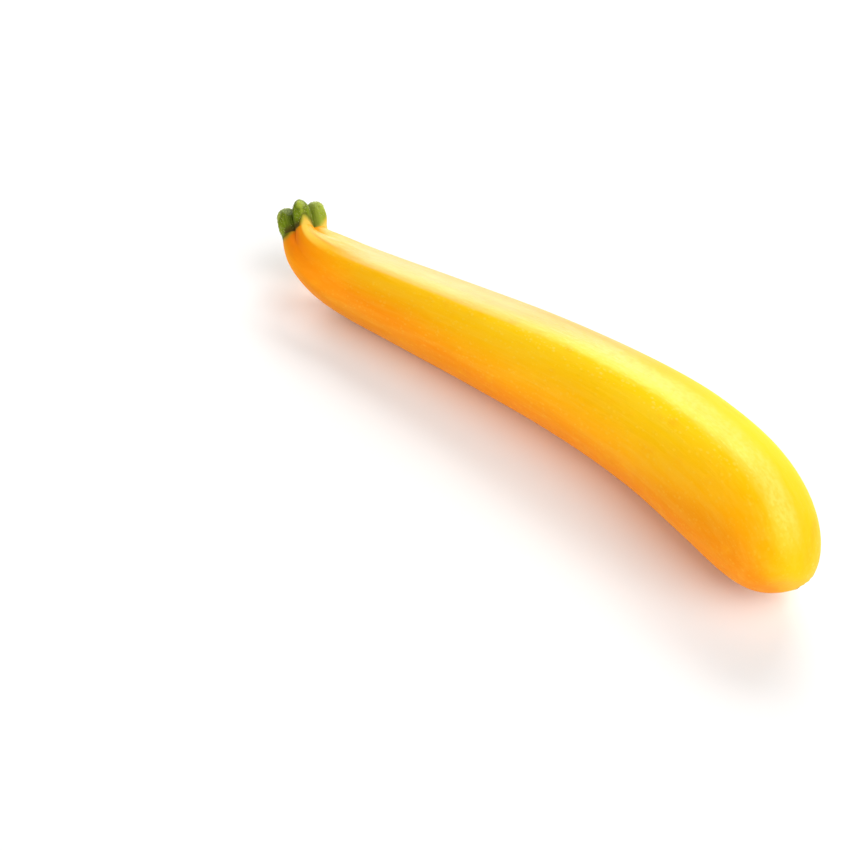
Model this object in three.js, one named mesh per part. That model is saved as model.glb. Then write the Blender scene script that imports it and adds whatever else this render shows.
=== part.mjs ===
// A yellow zucchini, picked with a short stub of its stem, lying on its side.
// Millimetres. +X runs from the stem to the blossom end, +Z is up and the floor is Z = 0.

import * as THREE from 'three';

// Stations of the fruit's centreline: a hooked neck, a long bowed body and a drooping end.
// Each has its point, the line's heading in plan from +X and rise above level there, and the
// plan lengths of its Bezier handles behind and ahead.
const JOINT = { x: -96.2, y: -10.1, z: 21.1, heading: -32.4, rise: -22, ahead: 8.1 };
const SHOULDER = { x: -66, y: -6.8, z: 13.1, heading: 8.5, rise: 2.3, behind: 14.5, ahead: 31 };
const BELLY = { x: 55.8, y: 3.1, z: 18.4, heading: -9, rise: 1.5, behind: 31.6, ahead: 19.5 };
const TIP = { x: 103.9, y: -15.5, z: 14.8, heading: -43.6, rise: -18, behind: 15.8 };

// Girth of the fruit: its radius at distances from the stem joint.
const FRUIT_LENGTH = 208;
const JOINT_RADIUS = 7.3;
const SHOULDER_AT = 37.4;
const SHOULDER_RADIUS = 13.1;
const SHOULDER_TAPER = 2.6;
const WIDEST_AT = 164;
const WIDEST_RADIUS = 18.8;
const SCAR_RADIUS = 3.5;
const SCAR_DEPTH = 0.7;

// Ribs: soft ridges that turn a little along the fruit and pinch into fingers at the stem.
// Heights and reaches are shares of the radius, and turns are counted from straight up.
const RIBS = 5;
const RIB_HEIGHT_AT_NECK = 0.034;
const RIB_HEIGHT_AT_TIP = 0.012;
const RIB_TURN_AT_NECK = 18;
const RIB_TURN_AT_TIP = 13;
const JOINT_TWIST = 14;
const TWIST_FADE = 5;
const FINGER_FADE = 11;
const FINGER_REACH = 0.61;
const FINGER_PEAK = 1.05;

// Stem stub, from its cut end to the joint.
const STEM_LENGTH = 11;
const STEM_CUT_RADIUS = 6.1;
const STEM_BULGE_RADIUS = 7.9;
const STEM_BASE_RADIUS = 7.6;
const STEM_SWING = 0.3;
const CUT_DISH = 0.8;
const CUT_FINGER_REACH = 0.66;
const CUT_NOTCH = 2.2;
const JOINT_GAP = 0.3;

// Mesh steps: rows along each curve of an outline, and columns around it.
const FRUIT_ROWS = 12;
const STEM_ROWS = 5;
const COLUMNS = 50;

const SKIN = { color: 0xf7b012, roughness: 0.38, metalness: 0 };
const STEM_SKIN = { color: 0x6f8a24, roughness: 0.6, metalness: 0 };

const UP = new THREE.Vector3(0, 0, 1);
const mix = THREE.MathUtils.lerp;
const radians = THREE.MathUtils.degToRad;

// A station's point, or a point on its handle at a plan distance ahead.
function onHandle({ x, y, z, heading, rise }, distance) {
  const turn = radians(heading);
  return new THREE.Vector3(x + distance * Math.cos(turn), y + distance * Math.sin(turn),
    z + distance * Math.tan(radians(rise)));
}

function centreline() {
  const stations = [JOINT, SHOULDER, BELLY, TIP];
  const line = new THREE.CurvePath();
  for (let i = 0; i + 1 < stations.length; i++) {
    const [from, to] = [stations[i], stations[i + 1]];
    line.add(new THREE.CubicBezierCurve3(onHandle(from, 0), onHandle(from, from.ahead),
      onHandle(to, -to.behind), onHandle(to, 0)));
  }
  return line;
}

// Distance from the axis for a bundle of round fingers, at an angle from the nearest finger.
function fingers(angle, reach) {
  const across = reach * Math.sin(angle);
  return reach * Math.cos(angle) + Math.sqrt((FINGER_PEAK - reach) ** 2 - across ** 2);
}

function fromNearestRib(angle) {
  const pitch = 2 * Math.PI / RIBS;
  return angle - pitch * Math.round(angle / pitch);
}

// The presses move a point of a round skin, given by its angle from straight up, its radius
// and its distance along the line, and return its new radius and distance.
function pressFruit(angle, radius, along) {
  const share = along / FRUIT_LENGTH;
  const turn = mix(RIB_TURN_AT_NECK, RIB_TURN_AT_TIP, share) - JOINT_TWIST * Math.exp(-along / TWIST_FADE);
  const turned = fromNearestRib(angle - radians(turn));
  const ribbed = 1 + mix(RIB_HEIGHT_AT_NECK, RIB_HEIGHT_AT_TIP, share) * Math.cos(RIBS * turned);
  const fingered = Math.exp(-along / FINGER_FADE);
  return [radius * mix(ribbed, fingers(turned, FINGER_REACH), fingered), along];
}

// The fingers of the stem part towards the cut, and the grooves notch its edge.
function pressStem(angle, radius, along) {
  const turned = fromNearestRib(angle - radians(RIB_TURN_AT_NECK - JOINT_TWIST));
  const towardsCut = -along / STEM_LENGTH;
  const groove = (1 - Math.cos(RIBS * turned)) / 2;
  const edge = radius / STEM_BULGE_RADIUS * THREE.MathUtils.smoothstep(towardsCut, 0.5, 1);
  const reach = mix(FINGER_REACH, CUT_FINGER_REACH, towardsCut);
  return [radius * fingers(turned, reach), along + CUT_NOTCH * groove * edge];
}

// Turns an outline of radius and distance along a line into a closed skin, presses it to its
// section and bends it along the line. What would reach below the floor lies flat on it.
function sweep(outline, press, pointAt, tangentAt) {
  const skin = new THREE.LatheGeometry(outline, COLUMNS);
  skin.deleteAttribute('normal');
  skin.deleteAttribute('uv');
  const vertices = skin.attributes.position;
  const vertex = new THREE.Vector3();
  for (let i = 0; i < vertices.count; i++) {
    vertex.fromBufferAttribute(vertices, i);
    const angle = Math.atan2(vertex.x, vertex.z);
    const [radius, along] = press(angle, Math.hypot(vertex.x, vertex.z), vertex.y);
    const tangent = tangentAt(along);
    const side = new THREE.Vector3().crossVectors(tangent, UP).normalize();
    const upward = new THREE.Vector3().crossVectors(side, tangent);
    vertex.copy(pointAt(along));
    vertex.addScaledVector(upward, radius * Math.cos(angle));
    vertex.addScaledVector(side, radius * Math.sin(angle));
    vertices.setXYZ(i, vertex.x, vertex.y, Math.max(vertex.z, 0));
  }
  skin.computeVertexNormals();
  return skin;
}

// The fruit is one solid, from the joint face to the small dished scar where the flower was.
function fruit() {
  const taper = Math.tan(radians(SHOULDER_TAPER));
  const girth = new THREE.Path();
  girth.moveTo(0, 0);
  girth.lineTo(JOINT_RADIUS, 0);
  girth.bezierCurveTo(JOINT_RADIUS + 4.4, 10.2, SHOULDER_RADIUS - 17 * taper, SHOULDER_AT - 17,
    SHOULDER_RADIUS, SHOULDER_AT);
  girth.bezierCurveTo(SHOULDER_RADIUS + 19 * taper, SHOULDER_AT + 19,
    WIDEST_RADIUS, WIDEST_AT - 34, WIDEST_RADIUS, WIDEST_AT);
  girth.bezierCurveTo(WIDEST_RADIUS, WIDEST_AT + 24, 14.3, FRUIT_LENGTH, SCAR_RADIUS, FRUIT_LENGTH);
  girth.lineTo(SCAR_RADIUS * 0.7, FRUIT_LENGTH - SCAR_DEPTH);
  girth.lineTo(0, FRUIT_LENGTH - SCAR_DEPTH);
  const line = centreline();
  return sweep(girth.getPoints(FRUIT_ROWS), pressFruit,
    (along) => line.getPoint(along / FRUIT_LENGTH), (along) => line.getTangent(along / FRUIT_LENGTH));
}

// The stem runs back from the joint and swings a little to the side, so its distances along
// the line are negative.
function stem() {
  const outline = new THREE.Path();
  outline.moveTo(0, CUT_DISH - STEM_LENGTH);
  outline.quadraticCurveTo(STEM_CUT_RADIUS / 2, CUT_DISH - STEM_LENGTH, STEM_CUT_RADIUS, -STEM_LENGTH);
  outline.quadraticCurveTo(STEM_BULGE_RADIUS, -STEM_LENGTH, STEM_BULGE_RADIUS, -STEM_LENGTH * 0.6);
  outline.quadraticCurveTo(STEM_BULGE_RADIUS, -STEM_LENGTH * 0.2, STEM_BASE_RADIUS, -JOINT_GAP);
  outline.lineTo(0, -JOINT_GAP);
  const joint = onHandle(JOINT, 0);
  const ahead = onHandle(JOINT, 1).sub(joint).normalize();
  const side = new THREE.Vector3().crossVectors(ahead, UP).normalize();
  const middle = joint.clone().addScaledVector(ahead, -STEM_LENGTH / 2);
  const cut = joint.clone().addScaledVector(ahead, -STEM_LENGTH).addScaledVector(side, STEM_SWING);
  const line = new THREE.QuadraticBezierCurve3(cut, middle, joint);
  return sweep(outline.getPoints(STEM_ROWS), pressStem,
    (along) => line.getPoint(1 + along / STEM_LENGTH), (along) => line.getTangent(1 + along / STEM_LENGTH));
}

function piece(name, geometry, finish) {
  const mesh = new THREE.Mesh(geometry, new THREE.MeshStandardMaterial(finish));
  mesh.name = name;
  return mesh;
}

const group = new THREE.Group();
group.add(piece('fruit', fruit(), SKIN));
group.add(piece('stem', stem(), STEM_SKIN));
export default group;
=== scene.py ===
import math

import bpy
import numpy as np
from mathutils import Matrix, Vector


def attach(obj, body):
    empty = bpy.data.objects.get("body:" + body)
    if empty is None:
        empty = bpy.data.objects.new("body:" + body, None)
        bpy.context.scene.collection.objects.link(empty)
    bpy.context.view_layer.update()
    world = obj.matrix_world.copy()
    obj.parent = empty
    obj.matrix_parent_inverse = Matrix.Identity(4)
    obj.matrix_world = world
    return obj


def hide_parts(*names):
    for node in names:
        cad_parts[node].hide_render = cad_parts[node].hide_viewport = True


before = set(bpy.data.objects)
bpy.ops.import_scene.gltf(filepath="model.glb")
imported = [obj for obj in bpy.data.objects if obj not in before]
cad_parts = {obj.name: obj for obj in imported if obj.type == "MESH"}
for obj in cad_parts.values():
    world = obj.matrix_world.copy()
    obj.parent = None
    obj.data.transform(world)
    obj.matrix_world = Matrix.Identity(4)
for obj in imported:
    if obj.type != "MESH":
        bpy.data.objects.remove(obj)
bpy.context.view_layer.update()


# ---- Camera ----
# The view looks down along the bowed side from 45 cm away, with the blossom end nearest and the
# stem furthest off. A point on the table, a little in front of the fruit, is its middle.
MM = 0.001
CAMERA_TURN = 44.9
CAMERA_RISE = 46
CAMERA_DISTANCE = 450.8 * MM
CAMERA_LENS = 60
CAMERA_NEAREST = 0.01
CAMERA_AIM = Vector((-18.5, -30.4, 0)) * MM


def looking_at(thing, aim, turn, rise, distance):
    """Stands a camera or lamp off from a point and aims it there. Degrees turn from -Y to +X."""
    turn, rise = math.radians(turn), math.radians(rise)
    away = Vector((math.sin(turn) * math.cos(rise), -math.cos(turn) * math.cos(rise), math.sin(rise)))
    thing.location = aim + away * distance
    thing.rotation_euler = away.to_track_quat("Z", "Y").to_euler()
    bpy.context.collection.objects.link(thing)


camera = bpy.data.objects.new("camera", bpy.data.cameras.new("camera"))
camera.data.lens = CAMERA_LENS
camera.data.clip_start = CAMERA_NEAREST
looking_at(camera, CAMERA_AIM, CAMERA_TURN, CAMERA_RISE, CAMERA_DISTANCE)
bpy.context.scene.camera = camera
bpy.context.scene.view_settings.view_transform = "Standard"


# ---- Studio ----
# A seamless white table between soft boxes: one behind that lays a sheen along the top facet, one
# over it that catches the far ridge, a wide one high on the right and a low one in front. The
# table's white shows as white, and away from the middle it glows white up to its edge.
TABLE_SIZE = 3.0
TABLE_WHITE = (0.95, 0.94, 0.93, 1)
TABLE_ROUGHNESS = 0.9
TABLE_SPECULAR = 0.1
TABLE_GLOW = 0.05
GLOW_STARTS, GLOW_FULL = 0.3, 0.7
WHITE = (1, 1, 1, 1)
BOX_DISTANCE = 0.9
SOFT_BOXES = {
    "box_behind": dict(turn=230, rise=18, size=(0.8, 0.5), power=6.2),
    "box_over_it": dict(turn=205, rise=44, size=(0.6, 0.28), power=3.8),
    "box_right": dict(turn=88, rise=48, size=(0.9, 0.9), power=8),
    "box_front": dict(turn=5, rise=9, size=(0.9, 0.26), power=4.3),
}
SURROUND_STRENGTH = 0.04


def plug(tree, socket, value):
    """Feeds a socket from another node, or sets its value."""
    value = getattr(value, "socket", value)
    if isinstance(value, bpy.types.NodeSocket):
        tree.links.new(value, socket)
    else:
        socket.default_value = value


def node(tree, kind, inputs=None, **settings):
    """A new node with its settings made and its inputs fed, by name or number."""
    made = tree.nodes.new(kind)
    for name, value in settings.items():
        setattr(made, name, value)
    for slot, value in (inputs or {}).items():
        plug(tree, made.inputs[slot], value)
    return made


def finish(name):
    """A new material, its tree and its Principled shader."""
    material = bpy.data.materials.new(name)
    material.use_nodes = True
    return material, material.node_tree, material.node_tree.nodes["Principled BSDF"]


def white_all_round(tree):
    """1 for a ray that looks, mirrors or passes straight at the background, and 0 for its light."""
    ray = node(tree, "ShaderNodeLightPath").outputs
    seen = ray["Is Camera Ray"]
    for other in ("Is Glossy Ray", "Is Transmission Ray"):
        seen = node(tree, "ShaderNodeMath", {0: seen, 1: ray[other]}, operation="MAXIMUM").outputs[0]
    return seen


table_mesh = bpy.data.meshes.new("table")
half = TABLE_SIZE / 2
table_mesh.from_pydata([(-half, -half, 0), (half, -half, 0), (half, half, 0), (-half, half, 0)], [],
                       [(0, 1, 2, 3)])
table = bpy.data.objects.new("table", table_mesh)
bpy.context.collection.objects.link(table)

table_finish, tree, shader = finish("white_table")
shader.inputs["Base Color"].default_value = TABLE_WHITE
shader.inputs["Roughness"].default_value = TABLE_ROUGHNESS
shader.inputs["Specular IOR Level"].default_value = TABLE_SPECULAR
shader.inputs["Emission Color"].default_value = WHITE
seen_at = node(tree, "ShaderNodeTexCoord").outputs["Object"]
from_middle = node(tree, "ShaderNodeVectorMath", {0: seen_at}, operation="LENGTH").outputs["Value"]
glow = node(tree, "ShaderNodeMapRange", {
    "Value": from_middle, "From Min": GLOW_STARTS, "From Max": GLOW_FULL,
    "To Min": TABLE_GLOW, "To Max": 1})
glow = node(tree, "ShaderNodeMath", {0: white_all_round(tree), 1: glow.outputs[0]}, operation="MULTIPLY")
plug(tree, shader.inputs["Emission Strength"], glow.outputs[0])
table_mesh.materials.append(table_finish)

for name, box in SOFT_BOXES.items():
    lamp = bpy.data.objects.new(name, bpy.data.lights.new(name, "AREA"))
    lamp.data.shape = "RECTANGLE"
    lamp.data.size, lamp.data.size_y = box["size"]
    lamp.data.energy = box["power"]
    looking_at(lamp, Vector((0, 0, 0)), box["turn"], box["rise"], BOX_DISTANCE)

surround = bpy.data.worlds.new("surround")
surround.use_nodes = True
tree = surround.node_tree
backdrop = node(tree, "ShaderNodeMapRange", {
    "Value": white_all_round(tree), "To Min": SURROUND_STRENGTH, "To Max": 1})
plug(tree, tree.nodes["Background"].inputs["Color"], WHITE)
plug(tree, tree.nodes["Background"].inputs["Strength"], backdrop.outputs[0])
bpy.context.scene.world = surround


# ---- Fruit ----
# One piece of thin waxy peel over firm flesh, from the joint with the stem to the blossom scar.
# It grows as a round outline with five soft ribs, which pinch into fingers where the stem takes
# hold, along a hooked and bowed line. The side it lies on is pressed flat.

# Each station of the line has its point, heading in plan, rise, and plan lengths of its handles
# behind and ahead, in millimetres and degrees.
STATIONS = (
    dict(point=(-96.2, -10.1, 21.1), heading=-32.4, rise=-22, behind=2, ahead=8.1),
    dict(point=(-66, -6.8, 13.1), heading=8.5, rise=2.3, behind=14.5, ahead=31),
    dict(point=(55.8, 3.1, 18.4), heading=-9, rise=1.5, behind=31.6, ahead=19.5),
    dict(point=(103.9, -15.5, 14.8), heading=-43.6, rise=-18, behind=15.8, ahead=2),
)

# Radii of its outline, how far along the fruit they come, and the handles behind and ahead of them.
FRUIT_LENGTH = 208
JOINT_RADIUS = 7.3
JOINT_EDGE = 0.12
JOINT_RINGS = (0.5, 0.05)
JOINT_HANDLE = (4.4, 10.2)
SHOULDER_AT = 37.4
SHOULDER_RADIUS = 13.1
SHOULDER_TAPER = math.tan(math.radians(2.6))
SHOULDER_HANDLES = (17, 19)
WIDEST_AT = 164
WIDEST_RADIUS = 18.8
WIDEST_HANDLES = (34, 24)
END_RADIUS = 3.5
END_HANDLE = 10.8
FRUIT_COLUMNS = 260

RIBS = 5
FINGER_REACH = 0.61
FINGER_PEAK = 1.05
JOINT_TURN = math.radians(4)
TOP_NARROWER = 0.1
SIDE_WIDER = 0.05

# Where green turns yellow past the joint, and how much sooner on three of the fingers, in
# millimetres. The fingers' angles run from the top towards the bowed side, in radians.
RIPE_LINE = 1.6
TOP_FINGER, TOP_RIPENS = -0.05, 3.5
BACK_FINGER, BACK_RIPENS = -1.19, 4.2
FRONT_FINGER, FRONT_RIPENS = 1.33, -1

# Lengths are in millimetres and angles in radians. Rib heights are shares of the radius, and the
# fills are shares of a groove's depth.
FRUIT_FORM = {
    "Length": FRUIT_LENGTH,
    "Rib Height at Neck": 0.036,
    "Rib Height at End": 0.018,
    "Rib Crispness": 0.2,
    "Rib Turn at Neck": math.radians(18),
    "Rib Turn at End": math.radians(13),
    "Joint Twist": math.radians(14),
    "Twist Fade": 5,
    "Finger Length": 15,
    "Swell Height": 0.3,
    "Collar Height": 0.4,
    "Collar Length": 1.2,
    "Front Groove Fill": 0.65,
    "Back Groove Fill": 0.5,
    "Wrinkle Height": 0.14,
    "Wrinkle Length": 16,
    "Scar Up": -2.5,
    "Scar Across": -8,
    "Scar Radius": 2.6,
    "Scar Depth": 0.4,
    "Scar Rim Height": 0.15,
    "Puckers": 11,
    "Pucker Height": 0.12,
    "Pucker Length": 3,
    "Seed": 4,
}


class Amount:
    """A number in a node tree. Sums done on it become the Math nodes that work them out."""

    def __init__(self, tree, socket):
        self.tree, self.socket = tree, socket

    def step(self, operation, *values):
        """What one Math node makes of its values."""
        made = node(self.tree, "ShaderNodeMath", dict(enumerate(values)), operation=operation)
        return Amount(self.tree, made.outputs[0])

    def __add__(self, other):
        return self.step("ADD", self, other)

    def __sub__(self, other):
        return self.step("SUBTRACT", self, other)

    def __rsub__(self, other):
        return self.step("SUBTRACT", other, self)

    def __mul__(self, other):
        return self.step("MULTIPLY", self, other)

    def __truediv__(self, other):
        return self.step("DIVIDE", self, other)

    def __pow__(self, other):
        return self.step("POWER", self, other)

    __radd__, __rmul__ = __add__, __mul__

    def cos(self):
        return self.step("COSINE", self)

    def sin(self):
        return self.step("SINE", self)

    def at_least(self, other):
        return self.step("MAXIMUM", self, other)

    def at_most(self, other):
        return self.step("MINIMUM", self, other)

    def falling(self, fade):
        """1 at zero, falling off over a distance on either side."""
        return self.step("EXPONENT", self.step("ABSOLUTE", self) / fade * -1)

    def smooth(self, start, end, low=0.0, high=1.0):
        """A soft step from low at start to high at end."""
        slots = {"Value": self, "From Min": start, "From Max": end, "To Min": low, "To Max": high}
        return Amount(self.tree, node(self.tree, "ShaderNodeMapRange", slots,
                                      interpolation_type="SMOOTHSTEP").outputs[0])


def length_of(a, b):
    """The distance from the middle of a point with these two coordinates."""
    return (a * a + b * b) ** 0.5


def angle_of(up, across):
    """The turn of a point round the line, from straight up towards the bowed side."""
    return up.step("ARCTAN2", across, up)


def mixed(a, b, share):
    """A number between two others, at a share of the way."""
    return a + (b - a) * share


def about(value, centre, full, faded):
    """1 within a distance of a centre, falling softly to 0 at a greater one."""
    return (value - centre).smooth(faded, full) * (centre - value).smooth(faded, full)


def from_nearest_rib(angle):
    """The turn from the crest of the nearest rib."""
    pitch = 2 * math.pi / RIBS
    return angle - angle.step("ROUND", angle / pitch) * pitch


def fingers(turned, reach):
    """Distance from the axis of a bundle of round fingers, at an angle from the nearest one."""
    across = reach * turned.sin()
    return reach * turned.cos() + ((FINGER_PEAK - reach) ** 2 - across * across) ** 0.5


def uneven(angle):
    """Turns by which the fingers differ: the top one is narrow and the one on the bowed side wide."""
    from_top = angle - JOINT_TURN
    return (from_top.cos() - 1) * TOP_NARROWER + (from_top * 2).sin() * SIDE_WIDER


def ripeness(along, angle):
    """Millimetres past the line where green turns yellow. Two fingers ripen early and one late."""
    top = about(angle, TOP_FINGER, 0, 0.46) * TOP_RIPENS
    back = about(angle, BACK_FINGER, 0, 0.6) * BACK_RIPENS
    front = about(angle, FRONT_FINGER, 0.2, 0.7) * FRONT_RIPENS
    return along - RIPE_LINE + top + back + front


def parts(tree, vector):
    """The three coordinates of a point, or the channels of a colour."""
    split = node(tree, "ShaderNodeSeparateXYZ", {0: vector})
    return [Amount(tree, output) for output in split.outputs]


def bumps(tree, place, lengths, seed, detail=0):
    """Soft random heights around zero, in lumps of these lengths along, up and across."""
    scaled = node(tree, "ShaderNodeVectorMath", {0: place, 1: [1 / length for length in lengths]},
                  operation="MULTIPLY").outputs[0]
    lumps = node(tree, "ShaderNodeTexNoise", {"Vector": scaled, "W": seed, "Scale": 1, "Detail": detail},
                 noise_dimensions="4D")
    return Amount(tree, lumps.outputs[0]) * 2 - 1


def form_tree(name, sizes):
    """A Geometry Nodes tree for one piece. Each size is one of its named inputs."""
    tree = bpy.data.node_groups.new(name, "GeometryNodeTree")
    tree.interface.new_socket("Geometry", in_out="INPUT", socket_type="NodeSocketGeometry")
    tree.interface.new_socket("Geometry", in_out="OUTPUT", socket_type="NodeSocketGeometry")
    tree.interface.new_socket("Line", in_out="INPUT", socket_type="NodeSocketObject")
    tree.interface.new_socket("Finish", in_out="INPUT", socket_type="NodeSocketMaterial")
    for size in sizes:
        tree.interface.new_socket(size, in_out="INPUT", socket_type="NodeSocketFloat")
    given = node(tree, "NodeGroupInput").outputs
    return tree, given, {size: Amount(tree, given[size]) for size in sizes}


def bent(tree, skin, line, share, up, across):
    """Moves a straight skin's points to their places round a line, and flattens what would sink."""
    lowest = (-1000, -1000, 0)
    curve = node(tree, "GeometryNodeObjectInfo", {"Object": line}).outputs["Geometry"]
    on_line = node(tree, "GeometryNodeSampleCurve", {"Curves": curve, "Factor": share},
                   mode="FACTOR").outputs

    def arrow(operation, a, b=None, slot=1):
        return node(tree, "ShaderNodeVectorMath", {0: a} if b is None else {0: a, slot: b},
                    operation=operation).outputs[0]

    side = arrow("NORMALIZE", arrow("CROSS_PRODUCT", on_line["Tangent"], (0, 0, 1)))
    upward = arrow("CROSS_PRODUCT", side, on_line["Tangent"])
    place = arrow("ADD", on_line["Position"], arrow("SCALE", upward, up, "Scale"))
    place = arrow("ADD", place, arrow("SCALE", side, across, "Scale"))
    place = arrow("SCALE", arrow("MAXIMUM", place, lowest), MM, "Scale")
    return node(tree, "GeometryNodeSetPosition", {"Geometry": skin, "Position": place}).outputs[0]


def marked(tree, skin, name, value, kind="FLOAT"):
    """The skin with a value kept at each of its points, for its material to read."""
    return node(tree, "GeometryNodeStoreNamedAttribute",
                {"Geometry": skin, "Name": name, "Value": value}, data_type=kind).outputs[0]


def close_tree(tree, skin, material):
    """Ends a tree as one real mesh in its finish."""
    real = node(tree, "GeometryNodeRealizeInstances", {0: skin}).outputs[0]
    dressed = node(tree, "GeometryNodeSetMaterial", {"Geometry": real, "Material": material}).outputs[0]
    node(tree, "NodeGroupOutput", {0: dressed})


def shaped(tree, given, skin, share, along, up, across):
    """Keeps each point's straight place, bends the skin round its line and ends the tree."""
    straight = node(tree, "ShaderNodeCombineXYZ", {0: along, 1: up, 2: across}).outputs[0]
    skin = marked(tree, skin, "straight", straight, "FLOAT_VECTOR")
    close_tree(tree, bent(tree, skin, given["Line"], share, up, across), given["Finish"])
    return tree


def grown(thing, tree, values):
    """Runs a tree on an object with its values, and leaves the result as the object's plain mesh."""
    modifier = thing.modifiers.new(tree.name, "NODES")
    modifier.node_group = tree
    for socket in tree.interface.items_tree:
        if socket.in_out == "INPUT" and socket.name in values:
            modifier[socket.identifier] = values[socket.name]
    depsgraph = bpy.context.evaluated_depsgraph_get()
    mesh = bpy.data.meshes.new_from_object(thing.evaluated_get(depsgraph), preserve_all_data_layers=True,
                                           depsgraph=depsgraph)
    thing.modifiers.clear()
    thing.data = mesh
    mesh.name = thing.name
    mesh.shade_smooth()


def bezier(points, steps):
    """Points along a Bezier curve of any degree, both ends included."""
    t = np.linspace(0, 1, steps)[:, None]
    degree = len(points) - 1
    return sum(math.comb(degree, i) * t**i * (1 - t) ** (degree - i) * np.array(points[i], float)
               for i in range(degree + 1))


def joined(*spans):
    """Spans that start where the last one ended, as one run of points."""
    return np.vstack([spans[0]] + [span[1:] for span in spans[1:]])


def straight_skin(name, outline, columns):
    """A closed round skin on the X axis, in millimetres, from an outline of radius and distance."""
    turn = np.linspace(0, 2 * math.pi, columns, endpoint=False)
    rings = [[(along, radius * math.cos(angle), radius * math.sin(angle)) for angle in turn]
             for radius, along in outline[1:-1]]
    first_tip, last_tip = ((along, 0, 0) for radius, along in (outline[0], outline[-1]))
    vertices = [first_tip, *(point for ring in rings for point in ring), last_tip]
    end, last = 1 + (len(rings) - 1) * columns, len(vertices) - 1
    faces = []
    for column in range(columns):
        beside = (column + 1) % columns
        faces.append((0, 1 + beside, 1 + column))
        for low in range(1, end, columns):
            high = low + columns
            faces.append((low + column, low + beside, high + beside, high + column))
        faces.append((end + column, end + beside, last))
    mesh = bpy.data.meshes.new(name)
    mesh.from_pydata(vertices, [], faces)
    skin = bpy.data.objects.new(name, mesh)
    bpy.context.collection.objects.link(skin)
    return skin


def on_handle(station, distance):
    """A station's point, or the one on its handle at a plan distance ahead."""
    turn = math.radians(station["heading"])
    step = Vector((math.cos(turn), math.sin(turn), math.tan(math.radians(station["rise"]))))
    return Vector(station["point"]) + distance * step


def bezier_line(name, knots):
    """A curve object through knots of a point and the ends of its handles behind and ahead."""
    curve = bpy.data.curves.new(name, "CURVE")
    curve.dimensions = "3D"
    curve.resolution_u = 200
    spline = curve.splines.new("BEZIER")
    spline.bezier_points.add(len(knots) - 1)
    for knot, (point, behind, ahead) in zip(spline.bezier_points, knots):
        knot.handle_left_type = knot.handle_right_type = "FREE"
        knot.co, knot.handle_left, knot.handle_right = point, behind, ahead
    line = bpy.data.objects.new(name, curve)
    bpy.context.collection.objects.link(line)
    return line


def fruit_tree():
    """Presses a round skin to its ribs and fingers, adds its finer forms, and bends it."""
    tree, given, size = form_tree("fruit_form", FRUIT_FORM)
    place = node(tree, "GeometryNodeInputPosition").outputs[0]
    along, up, across = parts(tree, place)
    radius = length_of(up, across)
    angle = angle_of(up, across)
    share = along / size["Length"]

    # The ribs turn slowly along the fruit, and faster at the joint, where they are fingers.
    turn = mixed(size["Rib Turn at Neck"], size["Rib Turn at End"], share)
    twist = uneven(angle) + size["Joint Twist"]
    turned = from_nearest_rib(angle - turn + twist * along.falling(size["Twist Fade"]))
    crest = (turned * RIBS).cos()
    upper_side = up.smooth(-6, 2)
    crisp = (turned * (2 * RIBS)).cos() * size["Rib Crispness"] * upper_side
    rib_height = mixed(size["Rib Height at Neck"], size["Rib Height at End"], share)
    rib_height = rib_height * along.smooth(170, 205, 1, 0.3)
    ribbed = 1 + rib_height * (crest + crisp)
    filled = mixed(size["Back Groove Fill"], size["Front Groove Fill"], across.smooth(-3, 3))
    pinch = along.smooth(size["Finger Length"], 0) * (1 - filled * along.smooth(0, 5))
    bundle = fingers(turned, FINGER_REACH)
    pressed = radius * mixed(ribbed, bundle, pinch)

    # Long shallow dents, fine wrinkles at the neck and a swollen collar at the joint.
    swells = bumps(tree, place, (40, 16, 16), size["Seed"]) * size["Swell Height"]
    wrinkles = bumps(tree, place, (9, 1.3, 1.3), size["Seed"]) * size["Wrinkle Height"]
    wrinkles = wrinkles * along.falling(size["Wrinkle Length"])
    collar = along.falling(size["Collar Length"]) * size["Collar Height"] * bundle

    # The scar is a dish with a raised rim, and puckers run out from it.
    scar_up, scar_across = up - size["Scar Up"], across - size["Scar Across"]
    from_scar = length_of(scar_up, scar_across) + share.smooth(0.7, 0.8, 50, 0)
    outside = from_scar - size["Scar Radius"]
    dish = outside.smooth(-0.8, 0.3, 1, 0) * size["Scar Depth"]
    dish = dish - outside.falling(0.5) * size["Scar Rim Height"]
    round_scar = angle_of(scar_up, scar_across)
    spokes = (round_scar * size["Puckers"] + bumps(tree, place, (6, 3, 3), 2) * 5).cos()
    puckers = spokes * outside.falling(size["Pucker Length"]) * size["Pucker Height"]

    fades_inward = (radius / JOINT_RADIUS).at_most(1)
    fine = pressed + fades_inward * ((swells + wrinkles) * along.smooth(0, 6) + puckers + collar)
    stretch = fine / radius.at_least(0.001)

    skin = marked(tree, given["Geometry"], "rib", crest)
    skin = marked(tree, skin, "ripe", ripeness(along, angle))
    skin = marked(tree, skin, "scar", from_scar)
    share = (along - dish) / size["Length"]
    return shaped(tree, given, skin, share, along, up * stretch, across * stretch)


fruit_line = bezier_line("fruit_line", [
    (on_handle(station, 0), on_handle(station, -station["behind"]), on_handle(station, station["ahead"]))
    for station in STATIONS
])


def tapered(beyond):
    """A point of the outline at a distance beyond the shoulder, where it tapers evenly."""
    return SHOULDER_RADIUS + beyond * SHOULDER_TAPER, SHOULDER_AT + beyond


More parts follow.
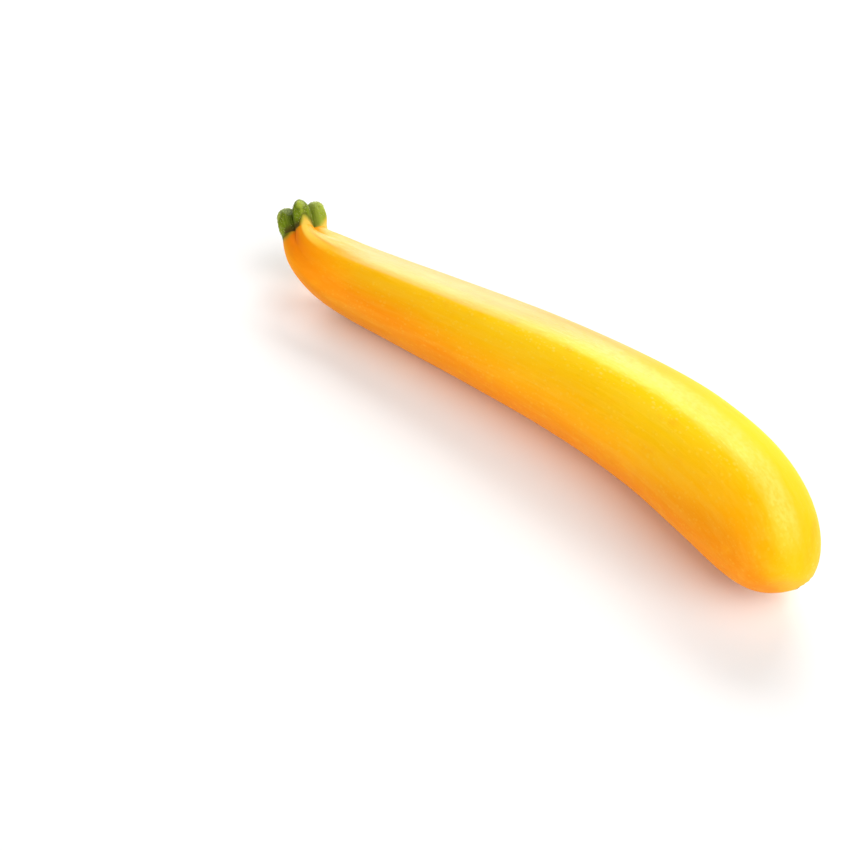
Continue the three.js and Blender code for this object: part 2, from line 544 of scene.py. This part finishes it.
# The outline's points are radius and distance from the joint, close together at the joint's edge.
girth = joined(
    bezier([(0, 0), (JOINT_RADIUS - JOINT_RINGS[0], 0)], 6),
    bezier([(JOINT_RADIUS - JOINT_RINGS[0], 0), (JOINT_RADIUS - JOINT_RINGS[1], 0)], 3),
    bezier([(JOINT_RADIUS - JOINT_RINGS[1], 0), (JOINT_RADIUS, 0), (JOINT_RADIUS, JOINT_EDGE)], 3),
    bezier([(JOINT_RADIUS, JOINT_EDGE), (JOINT_RADIUS + JOINT_HANDLE[0], JOINT_HANDLE[1]),
            tapered(-SHOULDER_HANDLES[0]), tapered(0)], 60),
    bezier([tapered(0), tapered(SHOULDER_HANDLES[1]), (WIDEST_RADIUS, WIDEST_AT - WIDEST_HANDLES[0]),
            (WIDEST_RADIUS, WIDEST_AT)], 130),
    bezier([(WIDEST_RADIUS, WIDEST_AT), (WIDEST_RADIUS, WIDEST_AT + WIDEST_HANDLES[1]),
            (END_RADIUS + END_HANDLE, FRUIT_LENGTH), (END_RADIUS, FRUIT_LENGTH)], 90),
    bezier([(END_RADIUS, FRUIT_LENGTH), (0, FRUIT_LENGTH)], 22),
)
fruit = straight_skin("zucchini_fruit", girth, FRUIT_COLUMNS)

# The peel runs from dull orange underneath, which is painted shade, to lemon on the side turned
# towards the light, which is painted light. The facet over the neck is creamy, partly painted sheen,
# and a painted highlight band runs along the top of the thick end. Fine freckles and faint lengthwise
# streaks cover it, its fingers end green at the stem, and the scar is corky.
GOLD = (0.99, 0.37, 0.001, 1)
ORANGE = (0.93, 0.265, 0.001, 1)
LEMON = (0.99, 0.67, 0.004, 1)
PALE = (0.98, 0.74, 0.12, 1)
CREAM_AND_SHEEN = (0.98, 0.56, 0.34, 1)
RECESS_SHADE = (0.90, 0.17, 0.001, 1)
SHADE_OCHRE = (0.70, 0.22, 0.001, 1)
UNRIPE = (0.42, 0.42, 0.03, 1)
STEM_GREEN = (0.17, 0.25, 0.002, 1)
CREASE_SHADE = (0.05, 0.03, 0.004, 1)
CORK = (0.26, 0.17, 0.045, 1)
CORK_PALE = (0.50, 0.37, 0.14, 1)
CORK_DARK = (0.06, 0.045, 0.012, 1)
PEEL_ROUGHNESS = 0.33
PEEL_GLOSSIEST = 0.25
PEEL_DULLER = 0.3
PEEL_SPECULAR = 0.35
PEEL_SHINE = (1, 0.75, 0.08, 1)
LIGHT_SOFTNESS = 40
LIGHT_LEAN = math.radians(20)
LIGHT_TWIST = math.radians(40)


def kept(tree, name, kind="Fac"):
    """A value kept at the points of the piece: a number, or a place where the kind is Vector."""
    return Amount(tree, node(tree, "ShaderNodeAttribute", attribute_name=name).outputs[kind])


def tinted(tree, under, over, share):
    """One colour laid over another by a share."""
    mix = node(tree, "ShaderNodeMix", {0: share, 6: under, 7: over}, data_type="RGBA")
    return mix.outputs[2]


def layered(tree, colour, *coats):
    """A colour under coats that are laid on in turn, each with its own colour and share."""
    for coat, share in coats:
        colour = tinted(tree, colour, coat, share)
    return colour


def effect(name, values, result):
    """A shader group for an effect on several finishes. It reads a place and named values."""
    tree = bpy.data.node_groups.new(name, "ShaderNodeTree")
    tree.interface.new_socket("Place", in_out="INPUT", socket_type="NodeSocketVector")
    for value, usual in values.items():
        socket = tree.interface.new_socket(value, in_out="INPUT", socket_type="NodeSocketFloat")
        socket.default_value = usual
    tree.interface.new_socket(result, in_out="OUTPUT", socket_type="NodeSocketFloat")
    given = node(tree, "NodeGroupInput").outputs
    return tree, given["Place"], {value: Amount(tree, given[value]) for value in values}


def stretched(tree, place, along, across):
    """A place divided by a length along the piece and a width across it."""
    scale = node(tree, "ShaderNodeCombineXYZ", {0: along, 1: across, 2: across}).outputs[0]
    return node(tree, "ShaderNodeVectorMath", {0: place, 1: scale}, operation="DIVIDE").outputs[0]


def freckles_effect():
    """Small soft dots that come in some cells and not in others."""
    tree, place, value = effect("Freckles", {"Spacing": 1.5, "Size": 0.3, "Share": 0.5}, "Dots")
    cells = node(tree, "ShaderNodeTexVoronoi", {
        "Vector": stretched(tree, place, value["Spacing"] * 1.5, value["Spacing"]), "Scale": 1})
    dots = Amount(tree, cells.outputs["Distance"])
    picked = parts(tree, cells.outputs["Color"])[0]
    dots = dots.smooth(value["Size"] * 0.5, value["Size"], 1, 0)
    node(tree, "NodeGroupOutput", {0: dots * picked.step("LESS_THAN", picked, value["Share"])})
    return tree


def streaks_effect():
    """Faint lines that run lengthwise and come and go."""
    tree, place, value = effect("Streaks", {"Length": 14, "Width": 0.8, "Seed": 0}, "Lines")
    lines = node(tree, "ShaderNodeTexNoise", {
        "Vector": stretched(tree, place, value["Length"], value["Width"]), "W": value["Seed"],
        "Scale": 1, "Detail": 3, "Roughness": 0.6}, noise_dimensions="4D")
    node(tree, "NodeGroupOutput", {0: Amount(tree, lines.outputs[0]).smooth(0.42, 0.68)})
    return tree


def laid(tree, group, place, **values):
    """An effect group placed in a material with its own values."""
    made = node(tree, "ShaderNodeGroup", node_tree=group)
    plug(tree, made.inputs["Place"], place)
    for name, value in values.items():
        made.inputs[name].default_value = value
    return Amount(tree, made.outputs[0])


def raised(tree, height, strength, distance, under=None):
    """A bump in millimetres."""
    slots = {"Height": height, "Strength": strength, "Distance": distance * MM}
    if under is not None:
        slots["Normal"] = under
    return node(tree, "ShaderNodeBump", slots).outputs[0]


def shaded_ripening_edge(ripe, patches):
    """The narrow crease where the green ends, where painted shade is laid."""
    return (ripe + 2.2 + patches * 0.5).falling(0.6)


FRECKLES = freckles_effect()
STREAKS = streaks_effect()

peel, tree, shader = finish("waxy_peel")
place = kept(tree, "straight", "Vector")
along, up, across = parts(tree, place)
angle = angle_of(up, across)
rib, ripe, from_scar = (kept(tree, name) for name in ("rib", "ripe", "scar"))
drift = bumps(tree, place, (45, 18, 18), 1, detail=2)
patches = bumps(tree, place, (9, 6, 6), 2, detail=2)

# Painted light: how far it has turned from orange to lemon, by how the surface faces a light that
# stands over the back, and further round where the fruit bends away. The neck is held orange as painted
# shade.
bend = along.smooth(150, 208)
lightward = LIGHT_LEAN + bend * LIGHT_TWIST
to_light = up * lightward.cos() - across * lightward.sin()
to_light = to_light / (up * up + across * across + LIGHT_SOFTNESS) ** 0.5
neck = (along + drift * 25).smooth(110, 0)
thick_end = along.smooth(110, 150)
painted_light_share = 0.25 + to_light * (0.74 - bend * 0.25) - neck * 0.37 + drift * 0.1
painted_light_share = painted_light_share + thick_end * along.smooth(205, 180, 0.3, 1) * 0.12
# Painted shade: ochre underneath, most at the neck, and a darker gold over the back of the neck half.
underneath = to_light.smooth(0, -0.45)
shaded_back = (angle + drift * 0.15).smooth(0.25, -0.2) * (along + drift * 10).smooth(176, 98)
shaded_back = shaded_back * angle.smooth(-3.1, -1.9)

# Ribs, the facets beside them and the fingers at the neck. Past the ridge the upper crests are pale and
# the facet over the neck creamy, partly their own colour and partly painted highlight and sheen.
crest = rib.smooth(0.75, 1) * along.smooth(8, 20) * along.smooth(200, 170)
past_ridge = (angle - 0.3 + along * 0.0004 + drift * 0.03).smooth(0.03, -0.05)
cream_and_sheen_facet = past_ridge * angle.smooth(-1.5, -0.8)
cream_and_sheen_facet = cream_and_sheen_facet * along.smooth(8, 30) * (along + drift * 10).smooth(120, 70)
# Freckles on the lit rib are brightened as painted speckled highlight.
speckled_highlight_rib = rib.smooth(0.1, 0.9) * to_light.smooth(0.2, 0.8) * along.smooth(40, 120)
# A painted highlight band along the top of the thick end, mottled by the pores.
highlight_band = about(angle + patches * 0.12, -0.1, 0.08, 0.38)
highlight_band = highlight_band * along.smooth(95, 150) * along.smooth(206, 194)
bowed_side = across.smooth(-1, 3)
# A painted highlight on the crests at the joint, away from the bowed side.
neck_crest_highlight = rib.smooth(0.6, 1) * along.smooth(16, 0) * across.smooth(6, 3)
front_crest = rib.smooth(0.2, 0.9) * along.smooth(14, 0) * across.smooth(2, 5)
# Painted shade: orange on the fingers' flanks and deep orange between them, on the bowed side.
flank = rib.smooth(1, 0.6) * along.smooth(26, 0) * across.smooth(-0.5, 1)
between_fingers = rib.smooth(0.3, -0.8) * along.smooth(14, 0) * bowed_side

# Pores, streaks and freckles, and the cork of the scar with its dark rim and middle.
pores = bumps(tree, place, (1.7, 1.3, 1.3), 7, detail=2)
fine_lines = laid(tree, STREAKS, place, Length=16, Width=0.7, Seed=3)
broad_lines = laid(tree, STREAKS, place, Length=40, Width=3, Seed=5)
dots = laid(tree, FRECKLES, place, Spacing=1.5, Size=0.34, Share=0.6)
specks = laid(tree, FRECKLES, place, Spacing=0.8, Size=0.36, Share=0.4)
cork = (from_scar + pores * 0.9 + patches * 0.4).smooth(3.2, 2.2)
cork_rim = (from_scar - 2.5 + pores * 0.6).falling(0.3)
cork_middle = (from_scar + pores * 0.5).smooth(1.1, 0.4)
cork_colour = tinted(tree, CORK, CORK_PALE, (pores - patches).smooth(-0.3, 0.4))

plug(tree, shader.inputs["Base Color"], layered(
    tree, ORANGE,
    # Painted light: lemon where the surface faces the light.
    (LEMON, painted_light_share),
    # Painted shade underneath, at the neck and over the back of the neck half.
    (SHADE_OCHRE, underneath * (0.35 + neck * 0.5) * along.smooth(2, 14)),
    (GOLD, shaded_back),
    (ORANGE, patches.smooth(0.1, 0.6) * 0.25),
    (LEMON, patches.smooth(-0.1, -0.6) * 0.15),
    # Partly the peel's own paleness, partly painted highlight and sheen, on the upper crests and the
    # facet past the ridge.
    (PALE, crest * past_ridge * 0.15),
    (CREAM_AND_SHEEN, cream_and_sheen_facet * 0.27),
    # Painted highlight band.
    (PALE, highlight_band * (0.35 + pores.smooth(-0.35, 0.35) * 0.45)),
    (PALE, broad_lines * 0.08),
    (PALE, fine_lines * 0.05),
    # The freckles are the peel's own, brightened on the lit rib as painted highlight.
    (PALE, dots * (0.1 + speckled_highlight_rib * 0.3)),
    (PALE, specks * (0.08 + speckled_highlight_rib * 0.3)),
    # Painted shade on the bowed side's flanks and between the fingers.
    (ORANGE, flank * 0.9),
    (RECESS_SHADE, between_fingers * 0.5),
    (GOLD, front_crest * 0.8),
    # Painted highlight on the crests at the joint.
    (PALE, neck_crest_highlight * 0.6),
    (UNRIPE, (ripe + patches * 0.6).smooth(-0.8, -2) * 0.5),
    (STEM_GREEN, (ripe + patches * 0.5).smooth(-1.7, -2.4)),
    # Painted shade in the crease where the green ends.
    (CREASE_SHADE, shaded_ripening_edge(ripe, patches) * 0.7),
    (cork_colour, cork * 0.9),
    (CORK_DARK, cork_rim * 0.55),
    (CORK_DARK, cork_middle * 0.6),
))

# It is waxiest on the side of the thick end turned towards the light, and dull underneath, behind and at
# its ends.
gloss = along.smooth(90, 140) * to_light.smooth(0, 0.4)
far_side = angle.smooth(0, -0.35) * thick_end
ends = along.smooth(202, 208) + along.smooth(40, 8) * bowed_side
dull = (underneath + far_side + ends).smooth(0, 1) * (1 - cork)
roughness = mixed(PEEL_ROUGHNESS, PEEL_GLOSSIEST, gloss) + dull * PEEL_DULLER
roughness = roughness + patches * 0.05 + dots * 0.1 + fine_lines * 0.04 + cork * 0.4
plug(tree, shader.inputs["Roughness"], roughness)
shader.inputs["Specular IOR Level"].default_value = PEEL_SPECULAR
shader.inputs["Specular Tint"].default_value = PEEL_SHINE
fine = fine_lines * 0.4 + dots * 0.5 + pores * (1 + cork * 4)
normal = raised(tree, fine, strength=0.6, distance=0.08)
plug(tree, shader.inputs["Normal"], raised(tree, patches, strength=0.4, distance=0.25, under=normal))

grown(fruit, fruit_tree(), {**FRUIT_FORM, "Line": fruit_line, "Finish": peel})
bpy.data.objects.remove(fruit_line)
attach(fruit, "root")
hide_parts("fruit")


# ---- Stem ----
# A short stub of fibrous green stem, five fingers round a core, cut off square. It grows out of
# the fruit, so its base sits in the joint, and on the top finger the yellow of the peel climbs it.

# Lengths and radii are in millimetres. The bulge's place is a share of the stem's length.
STEM_LENGTH = 11
STEM_CUT_RADIUS = 4.6
STEM_BULGE = 8.2
STEM_BASE_RADIUS = 7.7
STEM_SWING = 0.3
STEM_SUNK = 0.8
STEM_TUCK = 0.8
BULGE_AT = 0.55
BASE_EDGE = 0.1
CUT_DISH = 0.8
CUT_ROUNDING = 0.9
STEM_COLUMNS = 240

# Lengths are in millimetres. The reach and the ridge height are shares of the radius.
STEM_FORM = {
    "Length": STEM_LENGTH,
    "Reach at Cut": 0.66,
    "Cut Notch": 2.8,
    "Cut Raggedness": 0.35,
    "Ridge Height": 0.022,
    "Lump Height": 0.35,
    "Nick Height": 0.22,
    "Seed": 11,
}


def stem_tree():
    """Presses a round skin to its fingers, notches its cut end, roughens it and bends it."""
    tree, given, size = form_tree("stem_form", STEM_FORM)
    place = node(tree, "GeometryNodeInputPosition").outputs[0]
    along, up, across = parts(tree, place)
    radius = length_of(up, across)
    angle = angle_of(up, across)
    turned = from_nearest_rib(angle - JOINT_TURN + uneven(angle))
    crest = (turned * RIBS).cos()

    # The fingers draw apart towards the cut, and their outer sides are ridged and rough.
    to_cut = along / size["Length"] * -1
    side_wall = (radius / STEM_BULGE).smooth(0.3, 0.8)
    near_cut = to_cut.smooth(0.5, 1)
    shape = fingers(turned, mixed(FINGER_REACH, size["Reach at Cut"], to_cut))
    ridges = (turned * (3 * RIBS)).cos() * size["Ridge Height"]
    lumps = bumps(tree, place, (4, 2.6, 2.6), size["Seed"], detail=1) * size["Lump Height"]
    nicks = bumps(tree, place, (1.6, 0.5, 0.5), size["Seed"], detail=1) * size["Nick Height"]
    clear = side_wall * along.smooth(-0.3, -3)
    stretch = shape + clear * (ridges + (lumps + nicks) / radius.at_least(1))

    # The cut sinks between the fingers, and its fibres are ragged.
    notch = size["Cut Notch"] * ((1 - crest) / 2) ** 1.6 * radius / STEM_BULGE * near_cut
    ragged = bumps(tree, place, (50, 0.7, 0.7), size["Seed"] + 1, detail=2)
    ragged = ragged * near_cut * size["Cut Raggedness"]

    skin = marked(tree, given["Geometry"], "rib", crest)
    skin = marked(tree, skin, "beside", turned * radius)
    skin = marked(tree, skin, "ripe", ripeness(along, angle))
    skin = marked(tree, skin, "cut", near_cut * (1 - side_wall))
    share = (along + notch + ragged + size["Length"]) / (size["Length"] + STEM_SUNK)
    return shaped(tree, given, skin, share, along, up * stretch, across * stretch)


joint = on_handle(STATIONS[0], 0)
ahead = (on_handle(STATIONS[0], 1) - joint).normalized()
swing = ahead.cross(Vector((0, 0, 1))).normalized() * STEM_SWING
cut_end, middle = joint - ahead * STEM_LENGTH + swing, joint - ahead * STEM_LENGTH / 2
stem_line = bezier_line("stem_line", [
    (cut_end, cut_end, cut_end.lerp(middle, 2 / 3)),
    (joint, joint.lerp(middle, 2 / 3), joint + ahead * STEM_SUNK / 3),
    (joint + ahead * STEM_SUNK, joint + ahead * STEM_SUNK * 2 / 3, joint + ahead * STEM_SUNK),
])


def back(radius, share):
    """A point of the outline, at a share of the stem's length back from the joint."""
    return radius, -STEM_LENGTH * share


# Its outline runs from the middle of the cut to the middle of the sunk base.
stem_outline = joined(
    bezier([(0, CUT_DISH - STEM_LENGTH), (STEM_CUT_RADIUS / 2, CUT_DISH - STEM_LENGTH),
            back(STEM_CUT_RADIUS, 1)], 30),
    bezier([back(STEM_CUT_RADIUS, 1), back(STEM_BULGE - CUT_ROUNDING, 1), back(STEM_BULGE, 0.82),
            back(STEM_BULGE, BULGE_AT)], 44),
    bezier([back(STEM_BULGE, BULGE_AT), back(STEM_BULGE, 0.28), back(STEM_BASE_RADIUS, 0.14),
            (STEM_BASE_RADIUS, -BASE_EDGE)], 38),
    bezier([(STEM_BASE_RADIUS, -BASE_EDGE), (STEM_BASE_RADIUS, 0)], 2),
    bezier([(STEM_BASE_RADIUS, 0), (STEM_BASE_RADIUS - STEM_TUCK, STEM_SUNK)], 6),
    bezier([(STEM_BASE_RADIUS - STEM_TUCK, STEM_SUNK), (0, STEM_SUNK)], 12),
)
stem = straight_skin("zucchini_stem", stem_outline, STEM_COLUMNS)

# Its skin is olive green, darker in the grooves as painted shade, with pale fibres that run lengthwise.
# The cut is pale watery flesh round a white core, dried brown at its rim.
STEM_LIGHT = (0.42, 0.50, 0.05, 1)
STEM_DARK = (0.05, 0.08, 0.001, 1)
FLESH = (0.50, 0.56, 0.20, 1)
PITH = (0.78, 0.74, 0.50, 1)
DRIED = (0.22, 0.15, 0.04, 1)
STEM_ROUGHNESS = 0.52
STEM_SPECULAR = 0.15
STEM_SHINE = (1, 0.9, 0.5, 1)
PALE_TIP_AT = 7.9

green_skin, tree, shader = finish("green_stem_skin")
place = kept(tree, "straight", "Vector")
along, up, across = parts(tree, place)
rib, ripe, cut, beside = (kept(tree, name) for name in ("rib", "ripe", "cut", "beside"))
patches = bumps(tree, place, (3.5, 2.2, 2.2), 21, detail=2)
grain = bumps(tree, place, (1.2, 0.25, 0.25), 31, detail=2)
fibres = laid(tree, STREAKS, place, Length=5, Width=0.35, Seed=8)
stripes = laid(tree, STREAKS, place, Length=9, Width=1.1, Seed=9)
dots = laid(tree, FRECKLES, place, Spacing=0.7, Size=0.36, Share=0.5)
pores = laid(tree, FRECKLES, place, Spacing=0.9, Size=0.4, Share=0.6)

# Each finger is pale along its crest and near its tip as painted highlight, ringed by painted shade,
# and the back side is lighter as painted light. The yellow peel climbs from the joint, pale on its crest
# as painted highlight and orange on its bowed-side flank as painted shade.
from_tip = length_of(beside, along + PALE_TIP_AT) + patches * 0.4
groove = (rib + patches * 0.6).smooth(0.3, -0.7)
lit_back_side = across.smooth(0, -5)
yellow = (ripe + patches).smooth(-2.6, 1)
climbing = tinted(tree, PALE, ORANGE, 0.3 + rib.smooth(1, 0.5) * across.smooth(-1, 2) * 0.7)
# Painted shade in the grooves at the joint, kept off the back side.
joint_groove_shade = (along + patches * 0.4).smooth(-3.6, -0.6) * rib.smooth(0.95, 0.2) * (1 - yellow)

from_core = length_of(up, across)
flesh = layered(
    tree, FLESH,
    (PITH, (from_core + patches * 0.5).smooth(2.6, 1.6)),
    (STEM_GREEN, (from_core - 4.2 + patches * 0.4).falling(0.5) * 0.5),
    (DRIED, pores * 0.5),
    (DRIED, (from_core + patches * 0.6).smooth(4.6, 5.8) * 0.7),
)
plug(tree, shader.inputs["Base Color"], layered(
    tree, STEM_GREEN,
    # Painted shade in the grooves and round the pale tips, painted highlight on the crests and tips, and
    # painted light on the back side; fibres, stripes and dots are the skin's own.
    (STEM_DARK, groove * 0.9),
    (STEM_DARK, (from_tip - 2.2).falling(0.45) * 0.8),
    (STEM_LIGHT, (beside + patches * 0.4).falling(0.7) * 0.6),
    (STEM_LIGHT, from_tip.smooth(2, 0.8) * 0.9),
    (STEM_LIGHT, fibres * 0.3),
    (STEM_DARK, stripes * 0.35),
    (STEM_LIGHT, dots * 0.25),
    (STEM_LIGHT, lit_back_side * 0.5),
    (climbing, yellow),
    (CREASE_SHADE, joint_groove_shade * (1 - lit_back_side) * 0.9),
    (CREASE_SHADE, shaded_ripening_edge(ripe, patches) * (1 - lit_back_side) * 0.7),
    (flesh, cut.smooth(0.35, 0.65)),
))
roughness = STEM_ROUGHNESS + patches * 0.08 - fibres * 0.06 + cut * 0.2
plug(tree, shader.inputs["Roughness"], mixed(roughness, PEEL_ROUGHNESS, yellow))
shader.inputs["Specular IOR Level"].default_value = STEM_SPECULAR
shader.inputs["Specular Tint"].default_value = STEM_SHINE
plug(tree, shader.inputs["Normal"],
     raised(tree, grain + fibres * 0.7 + dots * 0.4, strength=0.5, distance=0.12))

grown(stem, stem_tree(), {**STEM_FORM, "Line": stem_line, "Finish": green_skin})
bpy.data.objects.remove(stem_line)
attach(stem, "root")
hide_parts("stem")


# ---- Prickles ----
# Short stiff hairs on the green of the stem, closest together along its ridges. Each is a small
# pale cone that grows out of the skin and leans a little.
PRICKLE_SIDES = 5
PRICKLE_GREEN = (0.44, 0.52, 0.18, 1)
PRICKLE_STRAW = (0.60, 0.52, 0.26, 1)
PRICKLE_ROUGHNESS = 0.5
PRICKLE_SPECULAR = 0.2

# Lengths are in millimetres and angles in radians. Density is a count in a square millimetre.
PRICKLE_FORM = {
    "Density": 1.1,
    "Shortest": 0.25,
    "Longest": 0.5,
    "Foot Radius": 0.1,
    "Foot Sunk": 0.08,
    "Lean": math.radians(25),
    "Seed": 6,
}


def prickle_tree():
    """Scatters cones over the green skin it is given, and leaves the cones alone."""
    tree, given, size = form_tree("prickle_form", PRICKLE_FORM)

    def read(name):
        return Amount(tree, node(tree, "GeometryNodeInputNamedAttribute", {"Name": name}).outputs[0])

    def random(low, high, kind, slots):
        value = node(tree, "FunctionNodeRandomValue",
                     {slots[0]: low, slots[1]: high, "Seed": size["Seed"]}, data_type=kind)
        return next(output for output in value.outputs if output.enabled)

    green = read("ripe").smooth(-2, -3) * read("cut").smooth(0.3, 0.1)
    points = node(tree, "GeometryNodeDistributePointsOnFaces", {
        "Mesh": given["Geometry"], "Seed": size["Seed"],
        "Density": green * read("rib").smooth(-0.6, 0.8, 0.2, 1) * size["Density"] / MM**2}).outputs
    cone = node(tree, "GeometryNodeMeshCone", {
        "Vertices": PRICKLE_SIDES, "Depth": MM,
        "Radius Top": 0, "Radius Bottom": size["Foot Radius"] * MM})
    sunk = node(tree, "ShaderNodeCombineXYZ", {2: size["Foot Sunk"] * -MM}).outputs[0]
    cone = node(tree, "GeometryNodeTransform", {"Geometry": cone.outputs["Mesh"], "Translation": sunk})
    lean = random((-1, -1, 0), (1, 1, 0), "FLOAT_VECTOR", (0, 1))
    lean = node(tree, "ShaderNodeVectorMath", {0: lean, "Scale": size["Lean"]}, operation="SCALE")
    leaning = node(tree, "FunctionNodeRotateRotation", {0: points["Rotation"], 1: lean.outputs[0]},
                   rotation_space="LOCAL")
    length = random(size["Shortest"], size["Longest"], "FLOAT", (2, 3))
    grow = node(tree, "ShaderNodeCombineXYZ", {0: 1, 1: 1, 2: length}).outputs[0]
    cones = node(tree, "GeometryNodeInstanceOnPoints", {
        "Points": points["Points"], "Instance": cone.outputs[0], "Rotation": leaning.outputs[0],
        "Scale": grow}).outputs[0]
    close_tree(tree, cones, given["Finish"])
    return tree


prickle_finish, tree, shader = finish("pale_prickle")
dried = bumps(tree, kept(tree, "straight", "Vector"), (0.8, 0.8, 0.8), 12, detail=1)
colour = tinted(tree, PRICKLE_GREEN, PRICKLE_STRAW, dried.smooth(-0.3, 0.3))
plug(tree, shader.inputs["Base Color"], colour)
plug(tree, shader.inputs["Roughness"], PRICKLE_ROUGHNESS + dried * 0.15)
shader.inputs["Specular IOR Level"].default_value = PRICKLE_SPECULAR

prickles = bpy.data.objects.new("stem_prickles", stem.data.copy())
bpy.context.collection.objects.link(prickles)
grown(prickles, prickle_tree(), {**PRICKLE_FORM, "Finish": prickle_finish})
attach(prickles, "root")
